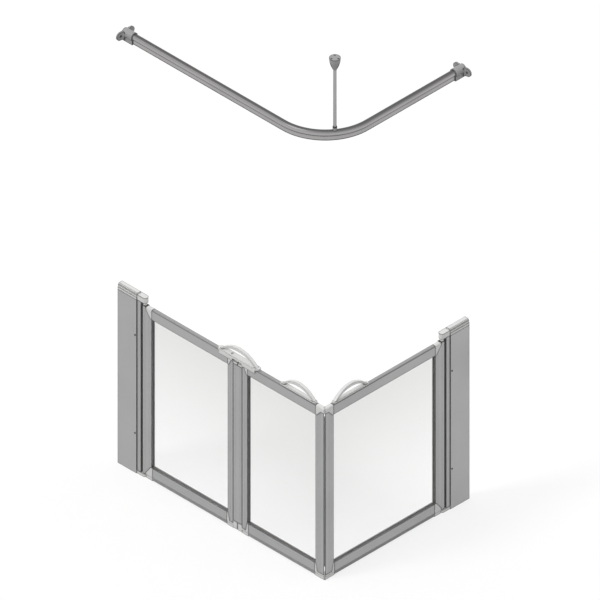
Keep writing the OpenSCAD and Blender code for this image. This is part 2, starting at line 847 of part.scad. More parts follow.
// Handle over the fold: fixed to the inner leaf, with a skirt that stops the outer leaf
module fold_handle_body() {
  half_w = fold_handle_w / 2;
  half_l = fold_handle_l / 2 - half_w;
  color("whitesmoke") difference() {
    union() {
      translate([fold_mid, 0, leaf_top]) handle_body(fold_handle_l, fold_handle_w);
      span([fold_mid - half_l, -half_w, leaf_top - skirt_h],
           [fold_mid + half_l, -half_t - slip, leaf_top + cut]);
      span([fold_mid - half_l, half_t + slip, leaf_top - skirt_h],
           [inner_end, half_w, leaf_top + cut]);
    }
    span([inner_end, -fold_handle_w, leaf_top - skirt_h - cut],
         [outer_start, 0, leaf_top - skirt_bridge]);
    span([inner_end + cut, -half_t - slip, leaf_top - cut],
         [fold_mid + fold_handle_l, fold_handle_w, leaf_top + slip]);
    screw_pocket(fold_screws[0], arch_h);
    screw_pocket(fold_screws[1], handle_head_h);
  }
}

// Outline of the fold strip, square outside and rounded on its pins inside
module strip_outline() {
  translate([fold_u1 - knuckle_r, -half_t])
    square([fold_u2 - fold_u1 + 2 * knuckle_r, half_t + knuckle_v]);
  translate([fold_u1, -half_t]) square([fold_u2 - fold_u1, leaf_t]);
  for (u = [fold_u1, fold_u2]) translate([u, knuckle_v]) circle(r = knuckle_r);
}

// Outline of the curtain rail about its centre, drawn smaller by an inset
module rail_shape(inset) {
  half = track_r - inset;
  step_z = neck_h - track_h / 2 + inset;
  top_z = track_h / 2 - track_r;
  translate([-half, step_z]) square([2 * half, top_z - step_z]);
  translate([0, top_z]) circle(r = half);
  translate([inset - track_neck / 2, inset - track_h / 2])
    square([track_neck - 2 * inset, track_h / 2 - inset]);
}

module rail_profile() {
  difference() {
    rail_shape(0);
    rail_shape(track_wall);
    translate([-track_slot / 2, -track_h / 2 - cut])
      square([track_slot, track_wall + 2 * cut]);
  }
}

// Bend of the curtain rail, from the front run to the side run
module rail_bend() {
  translate([bend_x, bend_y, rail_z]) rotate([0, 0, -90])
    rotate_extrude(angle = 90) translate([bend_r, 0]) children();
}

// Wall bracket: a plate with two lobes, and a socket round the end of the rail
module rail_bracket() {
  socket_end = plate_t + socket_l;
  color("lightgray") translate([0, 0, rail_z]) difference() {
    union() {
      along_run(0, plate_t) bracket_outline();
      along_run(0, socket_end) rail_shape(-socket_wall);
      for (side = [0, 1]) mirror([0, side, 0]) translate([0, 0, -plate_lobe_r])
        linear_extrude(2 * plate_lobe_r) bracket_flare();
    }
    along_run(plate_t, socket_end + cut) rail_shape(-fit);
    for (side = [-1, 1]) translate([-cut, side * plate_pitch / 2, 0]) rotate([0, 90, 0]) {
      cylinder(h = plate_t + 2 * cut, r = fixing_r);
      translate([0, 0, plate_t + cut]) cylinder(h = flare_r + cut, r = plate_seat_r);
    }
    translate([plate_t + socket_l / 2, 0, 0]) rotate([90, 0, 0])
      cylinder(h = track_w, r = grub_r + fit);
  }
}

// Plan of the flare between a bracket's socket and its plate
module bracket_flare() {
  socket_half = track_r + socket_wall;
  difference() {
    translate([plate_t - cut, socket_half - cut])
      square([flare_r + cut - flare_lip, flare_r + cut - flare_lip]);
    translate([plate_t + flare_r, socket_half + flare_r]) circle(r = flare_r);
  }
}

// Outline of a bracket's wall plate with a lobe on each side
module bracket_outline() {
  for (side = [-1, 1]) translate([side * plate_pitch / 2, 0]) circle(r = plate_lobe_r);
  translate([-plate_pitch / 2, -plate_lobe_r]) square([plate_pitch, 2 * plate_lobe_r]);
}

module grub_screw() {
  translate([plate_t + socket_l / 2, -track_r, rail_z]) rotate([90, 0, 0]) difference() {
    cylinder(h = grub_l, r = grub_r);
    translate([-grub_r, -slot_w / 2, grub_l / 2]) cube([2 * grub_r, slot_w, grub_l]);
  }
}

// Places a piece at the wall end of the rail on each run
module at_rail_a() {
  front_run() translate([0, track_a, 0]) children();
}

module at_rail_b() {
  side_run() translate([0, corner_a - track_b, 0]) children();
}

// Nodes of the fixed part
module wall_channel_a() { front_run() wall_channel(); }
module wall_channel_b() { side_run() wall_channel(); }
module channel_cap_a() { front_run() channel_cap(); }
module channel_cap_b() { side_run() channel_cap(); }
module hinge_post_a() { front_run() hinge_post(); }
module hinge_post_b() { side_run() hinge_post(); }
module hinge_head_a() { front_run() hinge_head(); }
module hinge_head_b() { side_run() hinge_head(); }
module hinge_foot_a() { front_run() hinge_foot(); }
module hinge_foot_b() { side_run() hinge_foot(); }

module pivot_pins() {
  color("silver") front_run() pin_pair();
  color("silver") side_run() pin_pair();
}

module post_screws() {
  color("silver") front_run() post_screw_pair();
  color("silver") side_run() post_screw_pair();
}

module curtain_rail() {
  start = plate_t + seat;
  color("gray") front_run() union() {
    translate([0, track_a, rail_z]) along_run(start, bend_x) rail_profile();
    rail_bend() rail_profile();
    translate([track_b, 0, rail_z]) rotate([90, 0, 0]) translate([0, 0, start - corner_b])
      linear_extrude(corner_b - start - bend_y) rail_profile();
  }
}

module rail_bracket_a() { at_rail_a() rail_bracket(); }
module rail_bracket_b() { at_rail_b() rail_bracket(); }

module rail_grub_screws() {
  color("dimgray") at_rail_a() grub_screw();
  color("dimgray") at_rail_b() grub_screw();
}

module ceiling_rod() {
  low_z = saddle_top - rod_seat;
  color("silver") front_run() translate([rod_x, rod_y, low_z])
    cylinder(h = ceiling_z - flange_h + rod_seat - low_z, r = rod_r);
}

// Ceiling flange: widens from the rod to its rim, with pockets for three screws
module ceiling_flange() {
  neck_r = rod_r + frame_wall;
  profile = [for (i = [0 : curve_steps])
    let (share = i / curve_steps)
    [neck_r + (flange_r - neck_r) * sin(90 * share), share * (flange_h - rim_t)]];
  color("lightgray") front_run() translate([rod_x, rod_y, ceiling_z - flange_h]) difference() {
    union() {
      rotate_extrude() polygon(concat([[0, 0]], profile, [[0, flange_h - rim_t]]));
      translate([0, 0, flange_h - rim_t]) cylinder(h = rim_t, r = flange_r);
    }
    translate([0, 0, -cut]) cylinder(h = rod_seat + cut, r = rod_r + fit);
    for (turn = [0, 120, 240]) rotate([0, 0, turn + flange_turn]) translate([flange_pitch_r, 0, -cut]) {
      cylinder(h = flange_h + 2 * cut, r = flange_hole_r);
      cylinder(h = flange_h - rim_t + cut, r = pocket_r);
    }
  }
}

module rod_saddle() {
  color("lightgray") front_run() difference() {
    translate([rod_x, rod_y, rail_top - track_r / 2])
      cylinder(h = track_r / 2 + saddle_h, r = saddle_r);
    rail_bend() rail_shape(-fit);
    translate([rod_x, rod_y, saddle_top - rod_seat]) cylinder(h = saddle_h, r = rod_r + fit);
  }
}

module rod_washer() {
  color("dimgray") front_run() translate([rod_x, rod_y, saddle_top]) difference() {
    cylinder(h = washer_h, r = washer_r);
    translate([0, 0, -cut]) cylinder(h = washer_h + 2 * cut, r = rod_r + fit);
  }
}

// Nodes of the inner leaf of the folding door
module inner_leaf_hinge_stile() { front_run() hinge_stile(); }
module inner_leaf_fold_stile() { front_run() fold_stile(inner_end, 1); }

module inner_leaf_top_rail() {
  front_run() top_rail(hinge_inner, inner_fold_inner, fold_screws);
}

module inner_leaf_bottom_rail() {
  front_run() bottom_rail(hinge_inner + block_side, inner_fold_inner - block_side);
}

module inner_leaf_panel() { front_run() panel(hinge_inner, inner_fold_inner); }
module inner_leaf_gasket() { front_run() gasket(hinge_inner, inner_fold_inner); }

module inner_leaf_top_corners() {
  front_run() top_hinge_corner();
  color("whitesmoke") front_run() difference() {
    top_fold_corner(inner_end, 1, fold_u1);
    screw_holes(fold_screws);
  }
}

module inner_leaf_bottom_corners() {
  front_run() bottom_hinge_corner();
  front_run() bottom_fold_corner(inner_end, 1, fold_u1);
}

module inner_leaf_bottom_seal() {
  front_run() bottom_seal(hinge_inner + block_side, inner_fold_inner - block_side);
}

module inner_leaf_bushes() { front_run() bush_pair(); }
module fold_handle() { front_run() fold_handle_body(); }
module fold_handle_screws() { front_run() handle_screws(fold_screws); }

// Nodes of the fold
module fold_strip() {
  low_z = leaf_bottom + arm_rise + slip;
  color("darkgray") front_run() translate([0, 0, low_z])
    linear_extrude(leaf_top - arm_drop - arm_h - slip - low_z) difference() {
      strip_outline();
      for (u = [fold_u1, fold_u2]) translate([u, knuckle_v]) circle(r = fold_pin_r + fit);
      translate([fold_u1 + knuckle_r, frame_wall - half_t])
        square([fold_u2 - fold_u1 - 2 * knuckle_r, leaf_t - 2 * frame_wall]);
    }
}

module fold_pins() {
  low_z = leaf_bottom - arm_fall;
  color("silver") front_run() for (u = [fold_u1, fold_u2])
    translate([u, knuckle_v, low_z]) cylinder(h = leaf_top - arm_drop - low_z, r = fold_pin_r);
}

// Nodes of the outer leaf of the folding door
module outer_leaf_fold_stile() { front_run() fold_stile(outer_start, -1); }
module outer_leaf_meeting_stile() { front_run() meet_stile(outer_end); }

module outer_leaf_top_rail() {
  front_run() top_rail(outer_fold_inner, outer_meet_inner, outer_screws);
}

module outer_leaf_bottom_rail() {
  front_run() bottom_rail(outer_fold_inner + block_side, outer_meet_inner - block_side);
}

module outer_leaf_panel() { front_run() panel(outer_fold_inner, outer_meet_inner); }
module outer_leaf_gasket() { front_run() gasket(outer_fold_inner, outer_meet_inner); }

module outer_leaf_top_corners() {
  color("whitesmoke") front_run() top_fold_corner(outer_start, -1, fold_u2);
  front_run() top_meet_corner(outer_end);
}

module outer_leaf_bottom_corners() {
  front_run() bottom_fold_corner(outer_start, -1, fold_u2);
  front_run() bottom_meet_corner(outer_end);
}

module outer_leaf_bottom_seal() {
  front_run() bottom_seal(outer_fold_inner + block_side, outer_meet_inner - block_side);
}

module outer_leaf_magnet_strip() { front_run() magnet_strip(outer_end); }
module outer_leaf_handle() { front_run() leaf_handle(outer_handle_u, outer_screws); }
module outer_leaf_handle_screws() { front_run() handle_screws(outer_screws); }

// Nodes of the side door
module side_door_hinge_stile() { side_run() hinge_stile(); }
module side_door_meeting_stile() { side_run() meet_stile(side_end); }
module side_door_top_rail() { side_run() top_rail(hinge_inner, side_meet_inner, side_screws); }

module side_door_bottom_rail() {
  side_run() bottom_rail(hinge_inner + block_side, side_meet_inner - block_side);
}

module side_door_panel() { side_run() panel(hinge_inner, side_meet_inner); }
module side_door_gasket() { side_run() gasket(hinge_inner, side_meet_inner); }

module side_door_top_corners() {
  side_run() top_hinge_corner();
  side_run() top_meet_corner(side_end);
}

module side_door_bottom_corners() {
  side_run() bottom_hinge_corner();
  side_run() bottom_meet_corner(side_end);
}

module side_door_bottom_seal() {
  side_run() bottom_seal(hinge_inner + block_side, side_meet_inner - block_side);
}

module side_door_bushes() { side_run() bush_pair(); }
module side_door_magnet_strip() { side_run() magnet_strip(side_end); }
module side_door_handle() { side_run() leaf_handle(side_handle_u, side_screws); }
module side_door_handle_screws() { side_run() handle_screws(side_screws); }

wall_channel_a();
wall_channel_b();
channel_cap_a();
channel_cap_b();
hinge_post_a();
hinge_post_b();
hinge_head_a();
hinge_head_b();
hinge_foot_a();
hinge_foot_b();
pivot_pins();
post_screws();
curtain_rail();
rail_bracket_a();
rail_bracket_b();
rail_grub_screws();
ceiling_rod();
ceiling_flange();
rod_saddle();
rod_washer();
inner_leaf_hinge_stile();
inner_leaf_fold_stile();
inner_leaf_top_rail();
inner_leaf_bottom_rail();
inner_leaf_panel();
inner_leaf_gasket();
inner_leaf_top_corners();
inner_leaf_bottom_corners();
inner_leaf_bottom_seal();
inner_leaf_bushes();
fold_handle();
fold_handle_screws();
fold_strip();
fold_pins();
outer_leaf_fold_stile();
outer_leaf_meeting_stile();
outer_leaf_top_rail();
outer_leaf_bottom_rail();
outer_leaf_panel();
outer_leaf_gasket();
outer_leaf_top_corners();
outer_leaf_bottom_corners();
outer_leaf_bottom_seal();
outer_leaf_magnet_strip();
outer_leaf_handle();
outer_leaf_handle_screws();
side_door_hinge_stile();
side_door_meeting_stile();
side_door_top_rail();
side_door_bottom_rail();
side_door_panel();
side_door_gasket();
side_door_top_corners();
side_door_bottom_corners();
side_door_bottom_seal();
side_door_bushes();
side_door_magnet_strip();
side_door_handle();
side_door_handle_screws();
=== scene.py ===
import json
import math

import bmesh
import bpy
from mathutils import Matrix, Vector


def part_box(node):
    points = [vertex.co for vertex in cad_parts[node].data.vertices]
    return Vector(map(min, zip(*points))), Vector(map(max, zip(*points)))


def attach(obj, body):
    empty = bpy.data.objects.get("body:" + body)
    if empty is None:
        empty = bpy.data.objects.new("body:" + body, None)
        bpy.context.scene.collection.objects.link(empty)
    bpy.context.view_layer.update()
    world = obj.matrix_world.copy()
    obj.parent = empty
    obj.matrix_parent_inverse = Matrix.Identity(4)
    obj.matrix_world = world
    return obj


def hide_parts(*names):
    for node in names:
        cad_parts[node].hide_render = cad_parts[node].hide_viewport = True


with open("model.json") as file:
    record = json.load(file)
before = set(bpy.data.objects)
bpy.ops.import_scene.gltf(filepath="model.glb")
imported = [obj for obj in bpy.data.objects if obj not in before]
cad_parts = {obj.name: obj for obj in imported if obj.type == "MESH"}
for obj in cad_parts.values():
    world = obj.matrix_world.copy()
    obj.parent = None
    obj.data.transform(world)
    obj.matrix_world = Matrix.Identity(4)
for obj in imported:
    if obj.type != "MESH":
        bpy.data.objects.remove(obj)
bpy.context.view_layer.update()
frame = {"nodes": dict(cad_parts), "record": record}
cadNodes = frame["nodes"]
bodies = frame["record"]["behaviour"]["bodies"]
bodyOf = {node: body for body, group in bodies.items() for node in group}
print("frame loaded:", len(cadNodes), "nodes")


# small helpers shared by the pieces

def boxOf(node):
    low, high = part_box(node)
    return Vector(low), Vector(high)


def addObject(name, data):
    thing = bpy.data.objects.new(name, data)
    bpy.context.scene.collection.objects.link(thing)
    return thing


def meshFrom(bm, name):
    mesh = bpy.data.meshes.new(name)
    bm.to_mesh(mesh)
    bm.free()
    return mesh


def smoothFaces(mesh):
    sharpFrom = math.radians(35)  # edges bent more than this stay sharp
    mesh.shade_smooth()
    mesh.set_sharp_from_angle(angle=sharpFrom)


def finishPiece(bm, node, material):
    # turns a bmesh into the piece that stands for a node and rides on the node's body
    bmesh.ops.recalc_face_normals(bm, faces=bm.faces)
    piece = addObject(node + "_moulded", meshFrom(bm, node + "_moulded"))
    smoothFaces(piece.data)
    piece.data.materials.append(material)
    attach(piece, bodyOf[node])
    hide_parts(node)
    return piece


def combine(piece, others, operation):
    # joins other bmesh solids to a finished piece, or cuts them out of it
    for bm in others:
        bmesh.ops.recalc_face_normals(bm, faces=bm.faces)
        other = addObject("other", meshFrom(bm, "other"))
        step = piece.modifiers.new("step", "BOOLEAN")
        step.operation = operation
        step.solver = "EXACT"
        step.object = other
        bpy.context.view_layer.update()
        result = bpy.data.meshes.new_from_object(
            piece.evaluated_get(bpy.context.evaluated_depsgraph_get()))
        piece.modifiers.clear()
        piece.data = result
        bpy.data.objects.remove(other)
    smoothFaces(piece.data)


def roundBar(centre, radius, height, points):
    bm = bmesh.new()
    bmesh.ops.create_cone(bm, cap_ends=True, segments=points, radius1=radius, radius2=radius,
                          depth=height, matrix=Matrix.Translation(centre))
    return bm


def addNode(tree, kind, values=None, **settings):
    # a shader node; settings are its own choices, and values go to its sockets
    node = tree.nodes.new("ShaderNode" + kind)
    for name, value in settings.items():
        setattr(node, name, value)
    for name, value in (values or {}).items():
        node.inputs[name].default_value = value
    return node


def link(tree, source, output, target, socket):
    tree.links.new(source.outputs[output], target.inputs[socket])


# effects that more than one finish uses

effects = {
    "grainDetail": 4, "grainRoughness": 0.65, "patchDetail": 3, "patchLow": 0.35, "patchHigh": 0.7,
    "softSamples": 4, "bandSamples": 6, "bandStart": 0.998, "bandFull": 0.95,
}


def startGroup(name, inputs, outputs):
    # a node group with its sockets, and the two nodes inside that stand for them
    group = bpy.data.node_groups.new(name, "ShaderNodeTree")
    for side, sockets in (("INPUT", inputs), ("OUTPUT", outputs)):
        for label, kind in sockets.items():
            group.interface.new_socket(name=label, in_out=side, socket_type="NodeSocket" + kind)
    return group, group.nodes.new("NodeGroupInput"), group.nodes.new("NodeGroupOutput")


def makeDrawnLines():
    # fine grain, which a stretched vector draws out to the lines of an extrusion die
    group, source, target = startGroup(
        "drawnLines", {"Vector": "Vector", "Fineness": "Float"}, {"Lines": "Float"})
    noise = addNode(group, "TexNoise", {
        "Detail": effects["grainDetail"], "Roughness": effects["grainRoughness"]})
    link(group, source, "Vector", noise, "Vector")
    link(group, source, "Fineness", noise, "Scale")
    link(group, noise, "Fac", target, "Lines")
    return group


def makeFaintPatches():
    # broad, faint patches: dried water, handling and uneven gloss
    group, source, target = startGroup(
        "faintPatches", {"Vector": "Vector", "Size": "Float"}, {"Patches": "Float"})
    noise = addNode(group, "TexNoise", {"Detail": effects["patchDetail"]})
    spread = addNode(group, "MapRange", {
        "From Min": effects["patchLow"], "From Max": effects["patchHigh"]})
    link(group, source, "Vector", noise, "Vector")
    link(group, source, "Size", noise, "Scale")
    link(group, noise, "Fac", spread, "Value")
    link(group, spread, "Result", target, "Patches")
    return group


def makeSoftEdges():
    # rounds the light over hard edges, and gives a mask of the band along them, where painted shade
    # darkens the colour
    group, source, target = startGroup(
        "softEdges", {"Radius": "Float", "Band": "Float"}, {"Normal": "Vector", "Edge": "Float"})
    soft = addNode(group, "Bevel", samples=effects["softSamples"])
    wide = addNode(group, "Bevel", samples=effects["bandSamples"])
    truth = addNode(group, "NewGeometry")
    compare = addNode(group, "VectorMath", operation="DOT_PRODUCT")
    mask = addNode(group, "MapRange", {
        "From Min": effects["bandStart"], "From Max": effects["bandFull"]})
    link(group, source, "Radius", soft, "Radius")
    link(group, source, "Band", wide, "Radius")
    link(group, soft, "Normal", target, "Normal")
    link(group, wide, "Normal", compare, 0)
    link(group, truth, "Normal", compare, 1)
    link(group, compare, "Value", mask, "Value")
    link(group, mask, "Result", target, "Edge")
    return group


drawnLines = makeDrawnLines()
faintPatches = makeFaintPatches()
softEdges = makeSoftEdges()
print("effects made")


# how a finish is put together

def startMaterial(name):
    material = bpy.data.materials.new(name)
    material.use_nodes = True
    tree = material.node_tree
    return material, tree, tree.nodes["Principled BSDF"], addNode(tree, "TexCoord")


def shaded(colour, share):
    # a colour made darker or lighter, as the four values that a socket takes
    return [min(1, channel * share) for channel in colour] + [1]


def heightShare(tree, place, low, high):
    # how far up a point lies, from 0 at low to 1 at high
    split = addNode(tree, "SeparateXYZ")
    share = addNode(tree, "MapRange", {"From Min": low, "From Max": high})
    link(tree, place, "Object", split, "Vector")
    link(tree, split, "Z", share, "Value")
    return share


def paintShadeByHeight(tree, place, tones, look):
    # paints shade by height, which draws dark lines and bands along a tube or a rail
    height = heightShare(tree, place, look["toneLow"], look["toneHigh"])
    ramp = addNode(tree, "ValToRGB")
    stops = ramp.color_ramp.elements
    stops.remove(stops[-1])
    for number, (share, tone) in enumerate(look["shadeTones"]):
        stop = stops.new(share) if number else stops[0]
        stop.color = (tone, tone, tone, 1)
    multiply = addNode(tree, "Mix", {"Factor": 1.0}, data_type="RGBA", blend_type="MULTIPLY")
    link(tree, height, "Result", ramp, "Fac")
    link(tree, tones, "Result", multiply, "A")
    link(tree, ramp, "Color", multiply, "B")
    return multiply


def addColour(tree, shader, place, lines, edges, look):
    # the grain shifts the colour a little, and painted shade darkens the band along the edges
    base, swing = look["colour"], look["swing"]
    darker, lighter = shaded(base, 1 - swing), shaded(base, 1 + swing)
    tones = addNode(tree, "Mix", {"A": darker, "B": lighter}, data_type="RGBA")
    # the rim mix paints shade into the band along the edges
    rim = addNode(tree, "Mix", {"B": shaded(base, look["rim"])}, data_type="RGBA")
    body = paintShadeByHeight(tree, place, tones, look) if "shadeTones" in look else tones
    link(tree, lines, "Lines", tones, "Factor")
    link(tree, edges, "Edge", rim, "Factor")
    link(tree, body, "Result", rim, "A")
    link(tree, rim, "Result", shader, "Base Color")


def addGloss(tree, shader, place, look):
    # broad patches make the gloss uneven
    patches = addNode(tree, "Group", {"Size": look["patchSize"]}, node_tree=faintPatches)
    least, most = look["roughness"]
    gloss = addNode(tree, "MapRange", {"To Min": least, "To Max": most})
    link(tree, place, "Object", patches, "Vector")
    link(tree, patches, "Patches", gloss, "Value")
    link(tree, gloss, "Result", shader, "Roughness")


def makeFinish(name, look):
    # an opaque finish: grain, uneven gloss, soft edges and a band of painted shade beside them
    material, tree, shader, place = startMaterial(name)
    shader.inputs["Metallic"].default_value = look["metallic"]
    shader.inputs["IOR"].default_value = look["ior"]
    shader.inputs["Coat Weight"].default_value = look["coat"]
    shader.inputs["Coat Roughness"].default_value = look["coatRoughness"]
    mapping = addNode(tree, "Mapping", {"Scale": look["stretch"]})
    lines = addNode(tree, "Group", {"Fineness": look["fineness"]}, node_tree=drawnLines)
    edges = addNode(tree, "Group", {"Radius": look["edgeRadius"], "Band": look["edgeShadeBand"]},
                    node_tree=softEdges)
    link(tree, place, "Object", mapping, "Vector")
    link(tree, mapping, "Vector", lines, "Vector")
    addColour(tree, shader, place, lines, edges, look)
    addGloss(tree, shader, place, look)
    relief = addNode(tree, "Bump", {"Strength": look["relief"], "Distance": look["reliefDepth"]})
    link(tree, lines, "Lines", relief, "Height")
    link(tree, edges, "Normal", relief, "Normal")
    link(tree, relief, "Normal", shader, "Normal")
    return material


def makeClearPanel(name, look):
    # clear sheet, with painted shade that makes it a little greyer towards the top of the door, and
    # a trace of dried water
    material, tree, shader, place = startMaterial(name)
    shader.inputs["Transmission Weight"].default_value = 1.0
    shader.inputs["IOR"].default_value = look["ior"]
    addGloss(tree, shader, place, look)
    height = heightShare(tree, place, look["fadeFrom"], look["fadeTo"])
    body = addNode(tree, "Mix", {"A": look["lowColour"], "B": look["shadedTopColour"]},
                   data_type="RGBA")
    link(tree, height, "Result", body, "Factor")
    link(tree, body, "Result", shader, "Base Color")
    return material


# the finishes; lengths are in metres, and fineness and patchSize are the scales of two noises

drawnOut = 0.02  # scale of the grain along an extrusion, which draws its specks out to lines
alongX, alongY, alongZ = (drawnOut, 1, 1), (1, drawnOut, 1), (1, 1, drawnOut)
everyWay = (1, 1, 1)

# rim is the share of the colour left in the band of painted shade along every edge, and the band
# width sets how wide it is
plainLook = {
    "metallic": 0.0, "ior": 1.46, "coat": 0.0, "coatRoughness": 0.12, "patchSize": 5.0,
    "reliefDepth": 0.0002, "edgeRadius": 0.0006, "edgeShadeBand": 0.0018, "stretch": everyWay,
}

aluminium = dict(
    plainLook, colour=(0.395, 0.395, 0.395), metallic=1.0, roughness=(0.36, 0.5), fineness=900,
    swing=0.05, relief=0.12, rim=0.16, edgeShadeBand=0.005)
uprightAluminium = dict(aluminium, stretch=alongZ)
channelAluminium = dict(uprightAluminium, colour=(0.4, 0.4, 0.4), edgeShadeBand=0.0035)

# the curved rail: painted shade by height, dark at its rounded top and bottom edges, and a painted
# shadow in its groove; each pair is a share of the height and a tone
railAluminium = dict(
    aluminium, colour=(0.44, 0.43, 0.43), edgeShadeBand=0.0022,
    toneLow=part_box("curtain_rail")[0][2], toneHigh=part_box("curtain_rail")[1][2],
    shadeTones=[(0.0, 0.25), (0.07, 0.35), (0.13, 0.92), (0.48, 0.85), (0.52, 0.14), (0.57, 0.14),
                 (0.61, 0.8), (0.76, 0.95), (0.88, 0.6), (0.96, 0.33), (1.0, 0.28)])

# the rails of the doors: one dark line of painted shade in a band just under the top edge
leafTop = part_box("inner_leaf_top_rail")[1][2]
topBand = 0.01
crossAluminium = dict(
    aluminium, toneLow=leafTop - topBand, toneHigh=leafTop,
    shadeTones=[(0.0, 1.0), (0.62, 1.0), (0.68, 0.4), (0.86, 0.4), (0.92, 1.0)])

whitePlastic = dict(
    plainLook, colour=(0.8, 0.8, 0.79), roughness=(0.3, 0.42), fineness=700, swing=0.015,
    relief=0.1, reliefDepth=0.0001, coat=0.15, rim=0.08, edgeShadeBand=0.0045)
greyPlastic = dict(whitePlastic, colour=(0.37, 0.37, 0.37), roughness=(0.45, 0.6), coat=0.0)

gasketRubber = dict(
    plainLook, colour=(0.3, 0.29, 0.28), roughness=(0.6, 0.8), fineness=1200, swing=0.2,
    relief=0.3, rim=0.8)
washerRubber = dict(gasketRubber, colour=(0.03, 0.03, 0.03))
wiperRubber = dict(gasketRubber, colour=(0.36, 0.36, 0.36), swing=0.05, rim=0.3)
magnetTape = dict(gasketRubber, colour=(0.07, 0.07, 0.07))

turnedSteel = dict(
    plainLook, colour=(0.5, 0.5, 0.5), metallic=1.0, roughness=(0.22, 0.34), fineness=1500,
    swing=0.06, relief=0.15, rim=0.4, edgeRadius=0.0003, edgeShadeBand=0.0006)
darkSteel = dict(turnedSteel, colour=(0.09, 0.09, 0.09))

clearPanel = {
    "ior": 1.45, "roughness": (0.0, 0.035), "patchSize": 7.0,
    # the colour at the top is painted shade that greys the upper part of the panel
    "lowColour": (1.0, 1.0, 1.0, 1), "shadedTopColour": (0.76, 0.76, 0.75, 1),
    "fadeFrom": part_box("inner_leaf_panel")[0][2], "fadeTo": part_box("inner_leaf_panel")[1][2],
}

finishes = {
    "frameX": makeFinish("frameAluminiumX", dict(crossAluminium, stretch=alongX)),
    "frameY": makeFinish("frameAluminiumY", dict(crossAluminium, stretch=alongY)),
    "frameZ": makeFinish("frameAluminiumZ", uprightAluminium),
    "channel": makeFinish("channelAluminium", channelAluminium),
    "rail": makeFinish("railAluminium", railAluminium),
    "rod": makeFinish("rodAluminium", uprightAluminium),
    "white": makeFinish("whitePlastic", whitePlastic),
    "grey": makeFinish("greyPlastic", greyPlastic),
    "gasket": makeFinish("gasketRubber", gasketRubber),
    "washer": makeFinish("washerRubber", washerRubber),
    "wiper": makeFinish("wiperRubber", wiperRubber),
    "magnet": makeFinish("magnetTape", magnetTape),
    "steel": makeFinish("turnedSteel", turnedSteel),
    "darkSteel": makeFinish("darkSteel", darkSteel),
    "panel": makeClearPanel("clearPanel", clearPanel),
}

# the first of these words that is in a node's name gives its finish, and any other node is white
finishByWord = {
    "wall_channel": "channel", "hinge_post": "frameZ", "fold_strip": "frameZ", "stile": "frameZ",
    "curtain_rail": "rail", "side_door_top_rail": "frameY", "side_door_bottom_rail": "frameY",
    "_rail": "frameX", "ceiling_rod": "rod", "rail_bracket": "grey", "ceiling_flange": "grey",
    "rod_saddle": "grey", "panel": "panel", "gasket": "gasket", "rod_washer": "washer",
    "bottom_seal": "wiper", "magnet_strip": "magnet", "post_screws": "darkSteel",
    "pins": "steel", "screws": "steel",
}

for name, piece in cadNodes.items():
    fitting = [finish for word, finish in finishByWord.items() if word in name] + ["white"]
    piece.data.materials.clear()
    piece.data.materials.append(finishes[fitting[0]])
print("finishes set")


# the three grab handles: a flat base with round ends, screwed down, and an arch to hold

handleLook = {
    "archHeight": 0.038, "baseHeight": 0.006, "baseRound": 0.0022, "roundSegments": 4,
    "endPoints": 48, "gripWidth": 0.014, "gripDepth": 0.013, "endDepth": 0.007,
    "squareness": 0.4, "ringPoints": 32, "steps": 40,
}


def handleBase(length, width, low, high, look):
    # a slab with round ends, its upper edge rounded over
    bm = bmesh.new()
    points = look["endPoints"]
    ring = bmesh.ops.create_circle(bm, cap_ends=True, segments=points, radius=width / 2)["verts"]
    halfStep = math.pi / points  # keeps every point off the middle line, where the ring is parted
    bmesh.ops.rotate(bm, verts=ring, cent=(0, 0, 0), matrix=Matrix.Rotation(halfStep, 3, "Z"))
    reach = length / 2 - width / 2
    for vert in ring:
        vert.co.x += reach if vert.co.x > 0 else -reach
        vert.co.z = low
    underside = next(f for f in bm.faces if all(v in ring for v in f.verts))
    lifted = bmesh.ops.extrude_face_region(bm, geom=[underside])["geom"]
    top = [v for v in lifted if isinstance(v, bmesh.types.BMVert)]
    bmesh.ops.translate(bm, verts=top, vec=(0, 0, high - low))
    upper = [e for e in lifted if isinstance(e, bmesh.types.BMEdge)]
    bmesh.ops.bevel(bm, geom=upper, offset=look["baseRound"], segments=look["roundSegments"],
                    profile=0.5, affect="EDGES", material=-1)
    return bm


def gripStation(share, halfLength, base, look):
    # place and size of the grip's ring, from share -1 at one foot of the arch to 1 at the other
    rise = look["archHeight"] * (1 - share * share)
    depth = look["endDepth"] + (look["gripDepth"] - look["endDepth"]) * (
        1 + math.cos(math.pi * share)) / 2
    slope = -2 * look["archHeight"] * share / halfLength
    return (Matrix.Translation((share * halfLength, 0, base + rise - depth / 2))
            @ Matrix.Rotation(-math.atan(slope), 4, "Y")
            @ Matrix.Diagonal((1, look["gripWidth"] / 2, depth / 2, 1)))


def handleGrip(halfLength, base, look):
    # a bar with rounded edges, whose ring is extruded from station to station of the arch
    bm = bmesh.new()
    now = gripStation(-1, halfLength, base, look)
    ring = bmesh.ops.create_circle(bm, cap_ends=True, segments=look["ringPoints"],
                                   radius=1)["verts"]
    for vert in ring:
        vert.co.x, vert.co.y = (math.copysign(abs(c) ** look["squareness"], c) for c in vert.co.xy)
    bmesh.ops.transform(bm, verts=ring, matrix=now @ Matrix.Rotation(math.pi / 2, 4, "Y"))
    edges = list(next(f for f in bm.faces if all(v in ring for v in f.verts)).edges)
    for step in range(1, look["steps"] + 1):
        after = gripStation(2 * step / look["steps"] - 1, halfLength, base, look)
        grown = bmesh.ops.extrude_edge_only(bm, edges=edges)["geom"]
        verts = [v for v in grown if isinstance(v, bmesh.types.BMVert)]
        edges = [e for e in grown if isinstance(e, bmesh.types.BMEdge)]
        bmesh.ops.transform(bm, verts=verts, matrix=after @ now.inverted())
        now = after
    bmesh.ops.holes_fill(bm, edges=edges)
    return bm


skirtLook = {"play": 0.0004, "lap": 0.003, "bridge": 0.004, "edgeRound": 0.0006, "roundSegments": 2}


